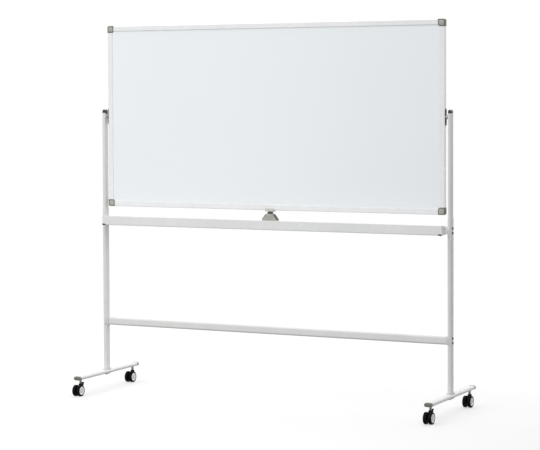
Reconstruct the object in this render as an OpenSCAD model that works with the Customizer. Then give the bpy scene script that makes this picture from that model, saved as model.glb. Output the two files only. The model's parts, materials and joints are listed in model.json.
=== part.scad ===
// Rolling whiteboard: a double-sided writing board that flips over in a wheeled stand.
// Millimetres. X runs along the board, Y from front to back, Z up.
// The origin is on the floor, below the middle of the board.

/* [Board] */
// Length of the framed board
board_w = 1800; // [1200:50:2400]
// Height of the framed board
board_h = 900; // [800:50:1000]
// Height of the flip axis above the floor, at the middle of the board
pivot_z = 1373; // [1360:1:1450]
// Thickness of the writing panel, core and both sheets
panel_t = 14; // [10:1:15]
// Thickness of each steel writing sheet
sheet_t = 0.5; // [0.3:0.1:1]
// Width of the frame profile, seen from the front
frame_w = 26; // [22:1:30]
// Thickness of the frame profile
frame_t = 20; // [19:1:24]
// Side of the square plastic corner caps
corner_w = 34; // [32:1:45]

/* [Stand] */
// Clear gap between the board's end and the lower post
post_gap = 14; // [13:1:20]
// Short side of the flat-oval tubes
tube_w = 20; // [18:1:24]
// Long side of the flat-oval tubes
tube_d = 40; // [36:1:50]
// Height of the top of the lower post tube
post_step_z = 911; // [896:5:916]
// Height of the top of the upper post tube
post_top_z = 1390; // [1389:1:1400]
// Height of the middle of the low crossbar
crossbar_z = 344; // [250:2:500]

/* [Pen tray] */
// Height of the underside of the tray
tray_z = 832; // [826:1:838]
// Height of the tray's front wall
tray_h = 45; // [40:1:46]
// How far the tray reaches in front of the posts' middle
tray_front = 67; // [55:1:80]
// How far the tray reaches behind the posts' middle
tray_back = 20; // [18:1:40]
// Depth of the trough below the front lip
trough_h = 25; // [15:1:28]

/* [Feet and casters] */
// Length of each foot with its end caps
foot_len = 570; // [500:10:700]
// Height of the underside of the feet
foot_z = 79; // [79:1:100]
// Long side of the feet's flat-oval tube
foot_w = 38; // [36:1:50]
// Short side of the feet's flat-oval tube
foot_h = 18; // [18:1:22]
// Distance of the caster stems from the posts, along the foot
stem_y = 250; // [200:1:255]
// Wheel diameter
wheel_d = 55; // [55:1:56]
// How far the wheel axle trails behind the stem
trail = 21; // [20:1:21]

/* [Hidden] */
$fn = 64;

// board outline and panel
half_w = board_w / 2;
half_h = board_h / 2;
board_low = pivot_z - half_h;
core_t = panel_t - 2 * sheet_t;
sheet_play = 0.2;
slot_depth = 14;
panel_edge = frame_w - slot_depth;
frame_wall = 2;
frame_edge_r = 5;
frame_lip_r = 1.2;
chamber_w = panel_edge - 2 * frame_wall;
chamber_t = frame_t - 5;
tongue_len = 28;
tongue_play = 0.2;
corner_t = frame_t + 1.2;
corner_in_r = 13;
corner_out_r = 8;

// posts and pivots
post_x = half_w + post_gap + tube_w / 2;
tube_wall = 1.3;
telescope_play = 0.2;
upper_w = tube_w - 2 * (tube_wall + telescope_play);
upper_d = tube_d - 2 * (tube_wall + telescope_play);
upper_wall = 1.5;
upper_from = 760;
post_cap_h = 17;
cap_lip = 0.6;
cap_dome_r = 24;
cap_skirt_w = 16;
cap_skirt_h = 7;
pin_r = 6;
pin_play = 0.06;
pin_collar_r = 10;
bush_r = 8;
bush_flange_r = 9.5;
bush_flange_t = 3;
plate_h = 76;
plate_w = 16;
plate_t = 2.5;
plate_screw_z = [-31, -18, 18, 31];
small_screw_r = 1.75;
small_head_r = 3.4;
small_head_h = 1.8;
pin_collar_t = 4.5;
washer_r = 9;
washer_t = 2;
upper_inner_x = post_x - upper_w / 2;

// bolts through the posts
bolt_pitch = 21;
bolt_r = 3;
bolt_hole_r = 3.3;
bolt_head_r = 5.2;
bolt_head_h = 3.2;
bolt_socket_r = 2.3;
bolt_socket_h = 2;
crossbar_bolt_reach = 37;
tray_bolt_z = tray_z + 19.5;
outer_x = post_x + tube_w / 2;
inner_x = post_x - tube_w / 2;

// tray and crossbar
sheet_wall = 2;
tray_floor_z = tray_z + tray_h - trough_h;
tray_rear_h = tray_h - 9;
rail_t = 2;
bead_r = 1.6;
beam_rise = 4;
beam_edge_r = 4;
tray_x = inner_x - 9;
end_plate_t = 2.5;
tray_plug = 14;
tray_plug_y = -20;
saddle_t = 2;
saddle_web = 30;
crossbar_x = inner_x - 8;
crossbar_plug = 24;
plug_play = 0.2;
beam_half = tray_x - end_plate_t;

// feet
foot_cap_t = 6;
foot_nut_r = 8.5;
foot_nut_h = 9;
foot_crown_r = 42;
foot_plug = 10;
socket_flange_t = 3;
socket_flange_d = 60;
socket_h = 8;
socket_wall = 2.5;
socket_plug_h = 38;
socket_bolt_y = 9;
under_plate_t = 3;
under_plate_d = 44;
foot_bolt_r = 5.8;
foot_bolt_h = 4;
foot_top = foot_z + foot_h;

// casters, each in a frame with its stem on the Z axis
wheel_r = wheel_d / 2;
web_t = 9;
wheel_gap = 0.6;
wheel_w = 15.4;
tread_r = 3.6;
tread_h = 8;
hub_hole_r = 6;
clear_r = wheel_r + 2.4;
boss_r = 10;
boss_top = 59;
boss_low = 39;
stem_r = 5;
spigot_r = 4;
spigot_play = 0.06;
spigot_low = 43;
stem_shoulder_r = 6;
stem_nut_r = 7.5;
stem_nut_h = 6;
axle_r = 3;
axle_eye_r = 9;
web_crest = 22;
web_heel = 19.5;
axle_play = 0.05;
axle_half = 19.7;
axle_head_r = 4.6;
axle_head_t = 1.2;
dish_r = 21.5;
dish_h = 2.2;
stem_thread_top = foot_z + 14;

// brake levers on the two front casters, behind the stem
lever_angle = 25;
lever_r = wheel_r + 8.4;
trunnion_r = 1.5;
trunnion_play = 0.05;
lug_r = 4;
lug_half = 8;
lug_foot = 0.6;
lug_crest = 14;
lug_gap = 0.3;
barrel_half = 4.2;
barrel_r = 3.4;
pedal_tilt = 66;
pedal_len = 24;
pedal_half_w = 6.5;
pedal_from = 5.5;
pedal_t = 3.2;
pad_angle = 235;
pad_reach = 8;
pad_from = 6.4;
pad_half_w = 9.5;
pad_t = 3.2;

// board lock on the tray
lock_top = 906;
guide_top = 916.1;
lock_pin_r = 5;
lock_pin_play = 0.05;
lock_travel = 8;
lock_top_w = 30;
lock_low_w = 82;
lock_knee_z = 873;
lock_base_w = 108;
lock_base_t = 4;
lock_t = 25;
lock_screw_x = 48;
lock_screw_r = 2;
lock_screw_head_r = 4;
lock_screw_head_h = 2.2;
lever_half = 34;
lever_play = 0.6;
guide_r = 4;
guide_w = 24;
guide_t = 20;
lever_z = 883;
lever_bar_r = 3;
grip_t = 4;
grip_w = 16;
grip_play = 0.6;
grip_from = 5;
grip_to = 38;
catch_w = 45;
catch_low = 917.5;
catch_high = 933;
catch_wall = 3;
catch_hole_r = 6.2;
catch_screw_x = 16;

// ---------- shared shapes ----------

// Extrudes a profile drawn in Y and Z along the X axis.
module along_x(length) {
    rotate([90, 0, 90]) linear_extrude(length, center = true) children();
}

// Extrudes a profile drawn in X and Z along the Y axis.
module along_y(length) {
    rotate([90, 0, 0]) linear_extrude(length, center = true) children();
}

// A round bar along X between two stations.
module bar_x(r, from_x, to_x) {
    translate([from_x, 0, 0]) rotate([0, 90, 0]) cylinder(r = r, h = to_x - from_x);
}

// A flat oval, short side along the first axis.
module oval(short, long) {
    square([short, long - short], center = true);
    for (s = [-1, 1]) translate([0, s * (long - short) / 2]) circle(d = short);
}

// The wall of a flat-oval tube.
module oval_tube(short, long, wall) {
    difference() {
        oval(short, long);
        oval(short - 2 * wall, long - 2 * wall);
    }
}

// A rectangle with round corners, lower left corner at the origin.
module round_rect(w, h, r) {
    translate([r, 0]) square([w - 2 * r, h]);
    translate([0, r]) square([w, h - 2 * r]);
    for (x = [r, w - r], y = [r, h - r]) translate([x, y]) circle(r);
}

// Places children on both sides; they are drawn for the right side.
module both_sides() {
    children();
    mirror([1, 0, 0]) children();
}

// Draws children for the right side, mirrored when side is -1.
module on_side(side) {
    mirror([side < 0 ? 1 : 0, 0, 0]) children();
}

// A pair of bolt axes through a post, one above the other.
module at_bolts(mid_z) {
    for (s = [-1, 1]) translate([0, 0, mid_z + s * bolt_pitch / 2]) children();
}

// ---------- stand ----------

module post_lower(side) color("gainsboro")
    on_side(side) difference() {
        translate([post_x, 0, foot_top + socket_flange_t])
            linear_extrude(post_step_z - foot_top - socket_flange_t)
                oval_tube(tube_w, tube_d, tube_wall);
        at_bolts(crossbar_z) bar_x(bolt_hole_r, inner_x - 1, outer_x + 1);
        at_bolts(tray_bolt_z) bar_x(bolt_hole_r, inner_x - 1, outer_x + 1);
    }

module post_upper(side) color("whitesmoke")
    on_side(side) difference() {
        translate([post_x, 0, upper_from])
            linear_extrude(post_top_z - upper_from) oval_tube(upper_w, upper_d, upper_wall);
        at_bolts(tray_bolt_z) bar_x(bolt_hole_r, inner_x - 1, outer_x + 1);
        translate([0, 0, pivot_z]) bar_x(bush_r, upper_inner_x - 1, post_x);
    }

// Domed cap with a plug in the tube and a short skirt over the post's inner face.
module post_caps() color("#222222")
    both_sides() {
        intersection() {
            translate([post_x, 0, post_top_z])
                linear_extrude(post_cap_h) oval(upper_w + 2 * cap_lip, upper_d + 2 * cap_lip);
            translate([0, 0, post_top_z + post_cap_h - cap_dome_r])
                bar_x(cap_dome_r, post_x - tube_w, post_x + tube_w);
        }
        translate([post_x, 0, post_top_z - cap_skirt_h]) linear_extrude(cap_skirt_h + 0.5)
            oval(upper_w - 2 * (upper_wall + plug_play), upper_d - 2 * (upper_wall + plug_play));
        translate([upper_inner_x - cap_lip, -cap_skirt_w / 2, post_top_z - cap_skirt_h])
            cube([cap_lip, cap_skirt_w, cap_skirt_h + 0.5]);
    }

module pivot_bushes() color("lightgray")
    both_sides() translate([0, 0, pivot_z]) difference() {
        union() {
            bar_x(bush_flange_r, upper_inner_x - bush_flange_t, upper_inner_x);
            bar_x(bush_r, upper_inner_x - 1, post_x + upper_w / 2 - 2);
        }
        bar_x(pin_r + pin_play, upper_inner_x - bush_flange_t - 1, post_x + upper_w / 2);
    }

// Section of the tray's beam, drawn inwards by an inset: the underside rises to the back.
module beam_section(inset) {
    polygon([
        [-tray_front + inset, tray_z + beam_edge_r], [-tray_front + beam_edge_r, tray_z + inset],
        [tray_back - inset, tray_z + beam_rise + inset], [tray_back - inset, tray_floor_z - inset],
        [-tray_front + inset, tray_floor_z - inset]
    ]);
    translate([beam_edge_r - tray_front, tray_z + beam_edge_r]) circle(beam_edge_r - inset);
}

// Box beam whose top is the tray's floor, with a web along its middle.
module tray_beam() color("gainsboro")
    difference() {
        along_x(2 * beam_half) difference() {
            beam_section(0);
            difference() {
                beam_section(sheet_wall);
                translate([(tray_back - tray_front - sheet_wall) / 2, tray_z])
                    square([sheet_wall, tray_h]);
            }
        }
        for (s = [-1, 1]) translate([s * lock_screw_x, 0, tray_floor_z - 5])
            cylinder(r = lock_screw_r, h = 10);
    }

// Upright rail from the beam's top up to a round bead, so far above the tray's underside.
module tray_rail(outer_y, way, height) color("gainsboro")
    along_x(2 * beam_half) translate([outer_y, tray_floor_z]) mirror([way < 0 ? 1 : 0, 0]) {
        bead_z = tray_z + height - bead_r - tray_floor_z;
        square([rail_t, bead_z]);
        translate([bead_r, bead_z]) circle(bead_r);
    }

// Half-shell saddle round a post's inner side, with a web that reaches in to a bar's end.
module saddle(from_x, low_z, height)
    translate([0, 0, low_z]) linear_extrude(height) {
        translate([from_x, -saddle_web / 2]) square([inner_x - from_x + saddle_t, saddle_web]);
        intersection() {
            translate([post_x, 0]) oval(tube_w + 2 * saddle_t, tube_d + 2 * saddle_t);
            translate([from_x, -tube_d]) square([post_x - from_x, 2 * tube_d]);
        }
    }

// Moulded end: a cover plate, a plug in the box beam and a saddle round the post.
module tray_end(side) color("silver")
    on_side(side) difference() {
        union() {
            translate([tray_x - end_plate_t / 2, 0, 0]) along_x(end_plate_t) {
                beam_section(0);
                polygon([
                    [-tray_front, tray_floor_z - 1], [-tray_front, tray_z + tray_h],
                    [bead_r * 2 - tray_front, tray_z + tray_h], [tray_back, tray_z + tray_rear_h],
                    [tray_back, tray_floor_z - 1]
                ]);
            }
            saddle(tray_x, tray_z + beam_rise, tray_rear_h - beam_rise);
            translate([tray_x - tray_plug, tray_plug_y, tray_z + beam_rise + sheet_wall])
                cube([tray_plug, tray_plug, tray_floor_z - tray_z - beam_rise - 2 * sheet_wall - plug_play]);
        }
        translate([post_x, 0, 0]) linear_extrude(post_step_z) oval(tube_w, tube_d);
        at_bolts(tray_bolt_z) bar_x(bolt_r, tray_x - 2 * tray_plug, outer_x);
    }

// Bolts through the posts: short ones into the tray ends, longer ones into the crossbar.
module post_bolts() color("#1c1c1c") {
    bolt_pair(tray_bolt_z, outer_x - tray_x + end_plate_t - 0.5);
    bolt_pair(crossbar_z, crossbar_bolt_reach);
}

module bolt_pair(mid_z, reach)
    both_sides() at_bolts(mid_z) {
        bar_x(bolt_r, outer_x - reach, outer_x);
        difference() {
            bar_x(bolt_head_r, outer_x, outer_x + bolt_head_h);
            translate([outer_x + bolt_head_h - bolt_socket_h, 0, 0])
                rotate([0, 90, 0]) cylinder(r = bolt_socket_r, h = 3, $fn = 6);
        }
    }

module crossbar() color("gainsboro")
    translate([0, 0, crossbar_z])
        along_x(2 * crossbar_x) oval_tube(tube_w, tube_d, tube_wall);

// Saddles that plug into the crossbar and seat against the posts.
module crossbar_ends() color("silver")
    both_sides() difference() {
        union() {
            saddle(crossbar_x, crossbar_z - tube_d / 2, tube_d);
            translate([crossbar_x - crossbar_plug / 2, 0, crossbar_z])
                along_x(crossbar_plug) oval(
                    tube_w - 2 * (tube_wall + plug_play), tube_d - 2 * (tube_wall + plug_play));
        }
        translate([post_x, 0, 0]) linear_extrude(post_step_z) oval(tube_w, tube_d);
        at_bolts(crossbar_z) bar_x(bolt_r, crossbar_x - 2 * crossbar_plug, outer_x);
    }

// Foot tube with a welded nut above each caster and holes for the post bolts.
module foot(side) color("gainsboro")
    on_side(side) translate([post_x, 0, 0]) difference() {
        union() {
            translate([0, 0, foot_z + foot_h / 2])
                along_y(foot_len - 2 * foot_cap_t) rotate(90) oval_tube(foot_h, foot_w, tube_wall);
            for (e = [-1, 1]) translate([0, e * stem_y, foot_z + tube_wall])
                cylinder(r = foot_nut_r, h = foot_nut_h, $fn = 6);
        }
        for (e = [-1, 1]) {
            translate([0, e * stem_y, foot_z - 1]) cylinder(r = stem_r, h = 14);
            translate([0, e * socket_bolt_y, foot_z - 1]) cylinder(r = bolt_hole_r, h = foot_h + 2);
        }
    }

// End caps with a crowned outer face and a plug in the foot tube.
module foot_caps() color("#82847c")
    both_sides() for (e = [-1, 1])
        translate([post_x, 0, foot_z + foot_h / 2]) {
            intersection() {
                translate([0, e * (foot_len - foot_cap_t) / 2, 0])
                    along_y(foot_cap_t) rotate(90) oval(foot_h, foot_w);
                translate([0, e * (foot_len / 2 - foot_crown_r), 0])
                    cylinder(r = foot_crown_r, h = 2 * foot_h, center = true);
            }
            translate([0, e * (foot_len - 2 * foot_cap_t - foot_plug) / 2, 0])
                along_y(foot_plug) rotate(90)
                    oval(foot_h - 2 * (tube_wall + plug_play), foot_w - 2 * (tube_wall + plug_play));
        }

// Post sockets: a flange, a low collar round the post and a plug inside it, with a plate below the foot.
module foot_sockets() color("silver")
    both_sides() difference() {
        union() {
            translate([post_x, 0, foot_top]) {
                linear_extrude(socket_flange_t) oval(foot_w - 12, socket_flange_d);
                difference() {
                    linear_extrude(socket_h)
                        oval(tube_w + 2 * socket_wall, tube_d + 2 * socket_wall);
                    translate([0, 0, socket_flange_t]) linear_extrude(socket_h) oval(tube_w, tube_d);
                }
                linear_extrude(socket_plug_h)
                    oval(tube_w - 2 * (tube_wall + plug_play), tube_d - 2 * (tube_wall + plug_play));
            }
            translate([post_x, 0, foot_z - under_plate_t])
                linear_extrude(under_plate_t) oval(foot_w - 12, under_plate_d);
        }
        for (e = [-1, 1]) translate([post_x, e * socket_bolt_y, foot_z - under_plate_t - 1])
            cylinder(r = bolt_r, h = under_plate_t + foot_h + socket_plug_h - 4);
    }

module foot_bolts() color("#1c1c1c")
    both_sides() for (e = [-1, 1])
        translate([post_x, e * socket_bolt_y, foot_z - under_plate_t]) {
            cylinder(r = bolt_r, h = under_plate_t + foot_h + socket_plug_h - 8);
            translate([0, 0, -foot_bolt_h]) cylinder(r = foot_bolt_r, h = foot_bolt_h, $fn = 6);
        }

// ---------- casters ----------

// Places children drawn for a caster whose stem is on the Z axis.
module at_caster(side, end) {
    translate([side * post_x, end * stem_y, 0]) mirror([side < 0 ? 1 : 0, 0, 0]) children();
}

// Moves children to the wheel axle.
module at_axle() {
    translate([0, -trail, wheel_r]) children();
}

// Swivel stem: thread in the foot, a shoulder below it and a spigot in the fork.
module caster_stems() color("#9a9a98")
    for (side = [-1, 1], end = [-1, 1]) at_caster(side, end) {
        translate([0, 0, spigot_low]) cylinder(r = spigot_r, h = foot_z - spigot_low);
        translate([0, 0, boss_top + 0.4])
            cylinder(r = stem_shoulder_r, h = foot_z - stem_nut_h - boss_top - 0.4);
        translate([0, 0, foot_z - stem_nut_h]) cylinder(r = stem_nut_r, h = stem_nut_h, $fn = 6);
        translate([0, 0, foot_z - 1]) cylinder(r = stem_r, h = stem_thread_top - foot_z + 1);
    }

// Side outline of the fork's middle web, drawn in Y and Z round the axle.
module web_outline() {
    eye = axle_eye_r * sin(45);
    circle(axle_eye_r);
    polygon([
        [-eye, eye], [trail - boss_r, web_crest], [trail - boss_r, boss_top - wheel_r],
        [trail + boss_r, boss_top - wheel_r], [trail + boss_r, web_heel],
        [eye, -eye]
    ]);
}

// The space that the wheels turn in, on both sides of the web.
module wheel_space() {
    for (s = [-1, 1]) translate([s * (web_t / 2 + 20), 0, 0]) along_x(40) circle(clear_r);
}

// Fork: a narrow web between the wheels, a boss for the stem and, in front, two lever lugs.
module fork(side, end) color("#1d1d1f")
    at_caster(side, end) difference() {
        union() {
            at_axle() along_x(web_t) web_outline();
            difference() {
                union() {
                    translate([0, 0, boss_low]) cylinder(r = boss_r, h = boss_top - boss_low);
                    if (end < 0) for (s = [-1, 1])
                        translate([s * (lug_half + barrel_half + lug_gap) / 2, 0, 0]) lever_lug();
                }
                at_axle() wheel_space();
            }
        }
        translate([0, 0, spigot_low - 0.5]) cylinder(r = spigot_r + spigot_play, h = 40);
        at_axle() bar_x(axle_r, -web_t, web_t);
        if (end < 0) at_lever_axis() {
            bar_x(trunnion_r + trunnion_play, -lug_half - 1, lug_half + 1);
            bar_x(pad_reach + 0.8, -barrel_half - lug_gap, barrel_half + lug_gap);
        }
    }

// One lug: a round ear at the lever's pivot, joined to the stem boss.
module lever_lug() {
    at_lever_axis() along_x(lug_half - barrel_half - lug_gap) {
        circle(lug_r);
        polygon([
            [-lug_r / 2, lug_foot - lug_r], [-boss_r, lug_foot], [-boss_r, lug_crest], [0, lug_r]
        ]);
    }
}

// Axle pressed in the web, with a flat head at each end.
module axle(side, end) color("silver")
    at_caster(side, end) at_axle() {
        bar_x(axle_r, -axle_half, axle_half);
        for (s = [-1, 1]) translate([s * axle_half, 0, 0])
            along_x(axle_head_t) circle(axle_head_r);
    }

// Wheel with a round-shouldered tread, a bored hub and a shallow dish outside.
module wheel(side, end, out) color("#262628")
    at_caster(side, end) at_axle() mirror([out > 0 ? 0 : 1, 0, 0])
        translate([web_t / 2 + wheel_gap, 0, 0]) rotate([0, 90, 0])
            rotate_extrude() difference() {
                union() {
                    translate([axle_r + axle_play, 0])
                        square([wheel_r - tread_r - axle_r - axle_play, wheel_w]);
                    translate([wheel_r - tread_h, 0]) round_rect(tread_h, wheel_w, tread_r);
                }
                translate([0, axle_half - web_t / 2 - wheel_gap - 1])
                    square([hub_hole_r, wheel_w]);
                translate([hub_hole_r, wheel_w - dish_h]) square([dish_r - hub_hole_r, wheel_w]);
            }

// Moves children to the brake lever's pivot.
module at_lever_axis() {
    at_axle() translate([0, lever_r * cos(lever_angle), lever_r * sin(lever_angle)]) children();
}

// Foot-operated brake lever: trunnions, barrel, raised pedal and a pad over both treads.
module brake_lever(side) color("#1d1d1f")
    at_caster(side, -1) at_lever_axis() {
        bar_x(trunnion_r, -lug_half + 0.4, lug_half - 0.4);
        bar_x(barrel_r, -barrel_half, barrel_half);
        along_x(2 * barrel_half) rotate(pedal_tilt)
            translate([1, -pedal_t / 2]) square([8, pedal_t]);
        along_x(2 * pedal_half_w) rotate(pedal_tilt)
            translate([pedal_from, -pedal_t / 2]) round_rect(pedal_len - pedal_from, pedal_t, 1.5);
        along_x(2 * barrel_half) rotate(pad_angle)
            translate([0, -pad_t / 2]) square([pad_reach, pad_t]);
        along_x(2 * pad_half_w) rotate(pad_angle)
            translate([pad_from, -pad_t / 2]) square([pad_reach - pad_from, pad_t]);
    }

// ---------- board lock on the tray ----------

// Front outline of the lock housing: slanted sides above a short upright foot.
module lock_outline() {
    polygon([
        [-lock_top_w / 2, lock_top], [lock_top_w / 2, lock_top],
        [lock_low_w / 2, lock_knee_z], [lock_low_w / 2, tray_floor_z],
        [-lock_low_w / 2, tray_floor_z], [-lock_low_w / 2, lock_knee_z]
    ]);
    translate([-lock_base_w / 2, tray_floor_z]) square([lock_base_w, lock_base_t]);
}

module lock_housing() color("#a9abac")
    difference() {
        along_y(lock_t) lock_outline();
        translate([0, 0, tray_floor_z - 1])
            cylinder(r = lock_pin_r + lock_pin_play, h = lock_top);
        translate([
            -lock_low_w, -lever_bar_r - lever_play, lever_z - lever_bar_r - lever_play])
            cube([
                2 * lock_low_w, 2 * (lever_bar_r + lever_play),
                2 * (lever_bar_r + lever_play) + lock_travel]);
        for (s = [-1, 1]) translate([s * lock_screw_x, 0, tray_floor_z - 1])
            cylinder(r = lock_screw_r, h = lock_base_t + 2);
    }

module lock_guide() color("#4a4a4c")
    difference() {
        translate([0, 0, lock_top]) linear_extrude(guide_top - lock_top)
            translate([-guide_w / 2, -guide_t / 2]) round_rect(guide_w, guide_t, guide_r);
        translate([0, 0, lock_top - 1])
            cylinder(r = lock_pin_r + lock_pin_play, h = guide_top);
    }

module lock_screws() color("silver")
    for (s = [-1, 1]) translate([s * lock_screw_x, 0, tray_floor_z]) {
        translate([0, 0, -6]) cylinder(r = lock_screw_r, h = lock_base_t + 7);
        translate([0, 0, lock_base_t]) cylinder(r = lock_screw_head_r, h = lock_screw_head_h);
    }

module lock_pin() color("#5a5a5c")
    difference() {
        translate([0, 0, tray_floor_z + 4]) cylinder(r = lock_pin_r, h = guide_top - tray_floor_z - 4);
        translate([0, 0, lever_z]) bar_x(lever_bar_r, -10, 10);
    }

// Cross lever through the pin, with a finger grip along each slanted side of the housing.
module lock_lever() color("#3a3a3c") {
    slant = atan2(lock_top - lock_knee_z, (lock_low_w - lock_top_w) / 2);
    translate([0, 0, lever_z]) bar_x(lever_bar_r, -lever_half, lever_half);
    both_sides() along_y(grip_w) translate([lock_top_w / 2, lock_top]) rotate(-slant)
        translate([grip_from, grip_play]) round_rect(grip_to - grip_from, grip_t, 1.8);
}

// ---------- board ----------

module board_core() color("burlywood")
    translate([0, 0, pivot_z])
        cube([board_w - 2 * panel_edge, core_t, board_h - 2 * panel_edge], center = true);

// Corner cap outline, outer corner at the origin; the inner side can grow for a clearance.
module cap_outline(grow) {
    inner = corner_w - corner_in_r;
    outer = corner_out_r;
    difference() {
        translate([-corner_w - grow, -corner_w - grow]) square(corner_w + grow);
        translate([-corner_w - grow, -corner_w - grow]) square(corner_in_r + grow);
        translate([-outer, -outer]) square(outer);
    }
    translate([-inner, -inner]) circle(corner_in_r + grow);
    translate([-outer, -outer]) circle(outer);
}

// Steel writing sheet, laid on the core inside the frame's lips and round the corner caps.
module board_face(way) color("aliceblue")
    translate([0, way * (core_t + sheet_t) / 2, pivot_z]) along_y(sheet_t) difference() {
        square([
            board_w - 2 * (frame_w + sheet_play), board_h - 2 * (frame_w + sheet_play)
        ], center = true);
        for (sx = [0, 1], sz = [0, 1])
            mirror([sx, 0]) mirror([0, sz]) translate([half_w, half_h]) cap_outline(sheet_play);
    }

// Frame section: x runs inward from the outer edge, y across the thickness.
module frame_section() {
    difference() {
        union() {
            translate([0, -frame_t / 2]) round_rect(3 * frame_edge_r, frame_t, frame_edge_r);
            translate([2 * frame_edge_r, -frame_t / 2])
                round_rect(frame_w - 2 * frame_edge_r, frame_t, frame_lip_r);
        }
        translate([panel_edge, -core_t / 2]) square([frame_w, core_t]);
        translate([frame_wall, -chamber_t / 2]) square([chamber_w, chamber_t]);
    }
}

// A frame bar, outer edge on the X axis and lying along it, inner side up.
module frame_bar(length) {
    along_x(length) rotate(90) frame_section();
}

// Top bar, with the keeper hole that the lock pin enters when the board is flipped.
module frame_top() color("white")
    difference() {
        translate([0, 0, pivot_z + half_h]) rotate([180, 0, 0])
            frame_bar(board_w - 2 * corner_w);
        translate([0, 0, pivot_z + half_h - 5]) cylinder(r = catch_hole_r, h = 10);
    }

module frame_bottom() color("white")
    difference() {
        translate([0, 0, board_low]) frame_bar(board_w - 2 * corner_w);
        translate([0, 0, board_low - 5]) cylinder(r = catch_hole_r, h = 10);
        for (s = [-1, 1]) translate([s * catch_screw_x, 0, board_low - 1])
            cylinder(r = small_screw_r, h = 8);
    }

// Side bar on the right, with holes for the pivot pin and the plate screws.
module frame_side(side) color("white")
    on_side(side) difference() {
        translate([half_w, 0, pivot_z]) rotate([0, -90, 0]) frame_bar(board_h - 2 * corner_w);
        translate([0, 0, pivot_z]) bar_x(pin_r, half_w - 5, half_w + 5);
        for (z = plate_screw_z) translate([0, 0, pivot_z + z])
            bar_x(small_screw_r, half_w - 5, half_w + 5);
    }

// Corner cap for the top right: a slotted block with a tongue in each frame bar.
module corner(side, up) color("#a8aaa6")
    translate([side * half_w, 0, pivot_z + up * half_h])
        mirror([side < 0 ? 1 : 0, 0, 0]) mirror([0, 0, up < 0 ? 1 : 0]) difference() {
            union() {
                along_y(corner_t) cap_outline(0);
                for (flip = [0, 1])
                    mirror([flip, 0, flip ? -1 : 0])
                        translate([
                            -corner_w - tongue_len, -chamber_t / 2 + tongue_play,
                            -frame_wall - chamber_w + tongue_play])
                            cube([tongue_len + 4, chamber_t - 2 * tongue_play,
                                chamber_w - 2 * tongue_play]);
            }
            translate([-corner_w - 1, -core_t / 2, -corner_w - 1])
                cube([corner_w + 1 - panel_edge, core_t, corner_w + 1 - panel_edge]);
        }

module pivot_plates() color("#222222")
    both_sides() translate([0, 0, pivot_z]) difference() {
        translate([half_w + plate_t / 2, 0, 0]) along_x(plate_t)
            translate([-plate_w / 2, -plate_h / 2]) round_rect(plate_w, plate_h, 3);
        bar_x(pin_r, half_w - 1, half_w + plate_t + 1);
        for (z = plate_screw_z) translate([0, 0, z]) bar_x(small_screw_r, half_w - 1, half_w + plate_t + 1);
    }

// Pivot pins with a collar against the plate and a free end in the bush.
module pivot_pins() color("silver")
    both_sides() translate([0, 0, pivot_z]) {
        bar_x(pin_r, half_w - 8, post_x + 5);
        bar_x(pin_collar_r, half_w + plate_t, half_w + plate_t + pin_collar_t);
    }

module pivot_washers() color("white")
    both_sides() translate([0, 0, pivot_z]) difference() {
        translate([half_w + plate_t + pin_collar_t, 0, 0]) bar_x(washer_r, 0, washer_t);
        bar_x(pin_r, half_w, post_x);
    }

module plate_screws() color("silver")
    both_sides() for (z = plate_screw_z) translate([0, 0, pivot_z + z]) {
        bar_x(small_screw_r, half_w - 5, half_w + plate_t);
        bar_x(small_head_r, half_w + plate_t, half_w + plate_t + small_head_h);
    }

// Saddle under the bottom bar that the lock pin rises into.
module lock_catch() color("#c9cbcc")
    difference() {
        along_x(catch_w) difference() {
            translate([-frame_t / 2 - catch_wall, catch_low])
                round_rect(frame_t + 2 * catch_wall, catch_high - catch_low, 2);
            translate([-frame_t / 2, board_low + 5]) square([frame_t, catch_high]);
            translate([0, board_low]) rotate(90) translate([0, -frame_t / 2])
                round_rect(3 * frame_edge_r, frame_t, frame_edge_r);
        }
        translate([0, 0, catch_low - 1]) cylinder(r = catch_hole_r, h = 10);
        for (s = [-1, 1]) translate([s * catch_screw_x, 0, catch_low - 1])
            cylinder(r = small_screw_r, h = 10);
    }

module catch_screws() color("silver")
    for (s = [-1, 1]) translate([s * catch_screw_x, 0, catch_low])
        cylinder(r = small_screw_r, h = 9);

post_lower(-1);  // post_lower_left
post_lower(1);  // post_lower_right
post_upper(-1);  // post_upper_left
post_upper(1);  // post_upper_right
post_caps();
pivot_bushes();
tray_beam();
tray_rail(-tray_front, 1, tray_h);  // tray_front_rail
tray_rail(tray_back, -1, tray_rear_h);  // tray_rear_rail
tray_end(-1);  // tray_end_left
tray_end(1);  // tray_end_right
crossbar();
crossbar_ends();
post_bolts();
foot(-1);  // foot_left
foot(1);  // foot_right
foot_caps();
foot_sockets();
foot_bolts();
caster_stems();
lock_housing();
lock_guide();
lock_screws();
board_core();
board_face(-1);  // face_front
board_face(1);  // face_back
frame_top();
frame_bottom();
frame_side(-1);  // frame_left
frame_side(1);  // frame_right
corner(-1, 1);  // corner_top_left
corner(1, 1);  // corner_top_right
corner(-1, -1);  // corner_bottom_left
corner(1, -1);  // corner_bottom_right
pivot_plates();
pivot_pins();
pivot_washers();
plate_screws();
lock_catch();
catch_screws();
lock_pin();
lock_lever();
fork(-1, -1);  // fork_front_left
fork(1, -1);  // fork_front_right
fork(-1, 1);  // fork_rear_left
fork(1, 1);  // fork_rear_right
axle(-1, -1);  // axle_front_left
axle(1, -1);  // axle_front_right
axle(-1, 1);  // axle_rear_left
axle(1, 1);  // axle_rear_right
wheel(-1, -1, 1);  // wheel_front_left_outer
wheel(-1, -1, -1);  // wheel_front_left_inner
wheel(1, -1, 1);  // wheel_front_right_outer
wheel(1, -1, -1);  // wheel_front_right_inner
wheel(-1, 1, 1);  // wheel_rear_left_outer
wheel(-1, 1, -1);  // wheel_rear_left_inner
wheel(1, 1, 1);  // wheel_rear_right_outer
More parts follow.
